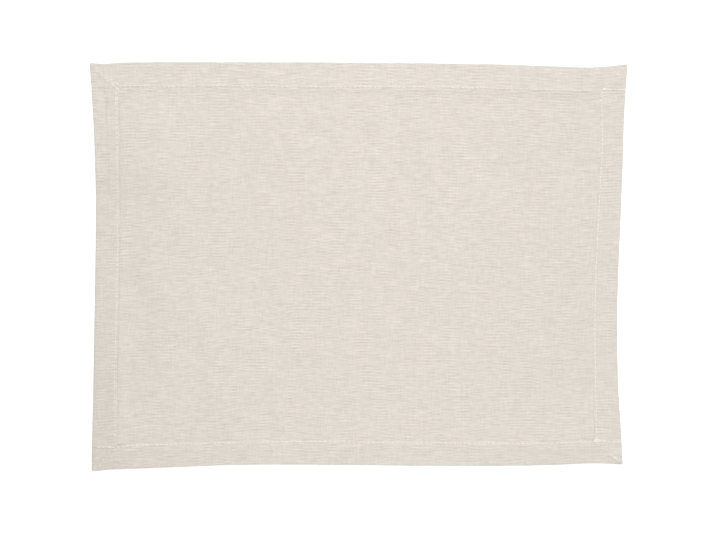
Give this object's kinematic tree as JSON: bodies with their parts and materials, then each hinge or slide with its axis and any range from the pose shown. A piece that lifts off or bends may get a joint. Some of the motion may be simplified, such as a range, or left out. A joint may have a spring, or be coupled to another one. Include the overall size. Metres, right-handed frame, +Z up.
{
  "type": "fabric placemat",
  "caption": "Rectangular placemat of plain-woven natural cloth with a turned, mitred and stitched hem, lying flat.",
  "frame": {"origin": "middle of the outline on the underside, where the mat lies on the table", "axes": "+X along the long side, +Y along the short side to the far edge, +Z up through the side with the hem"},
  "size_m": [0.4684, 0.357, 0.0038],
  "materials": {
    "cloth": "matt plain weave of pale natural beige yarn with slubs, hem stitched in off-white thread"
  },
  "bodies": {
    "root": {"placemat_cloth": "cloth"}
  },
  "joints": []
}
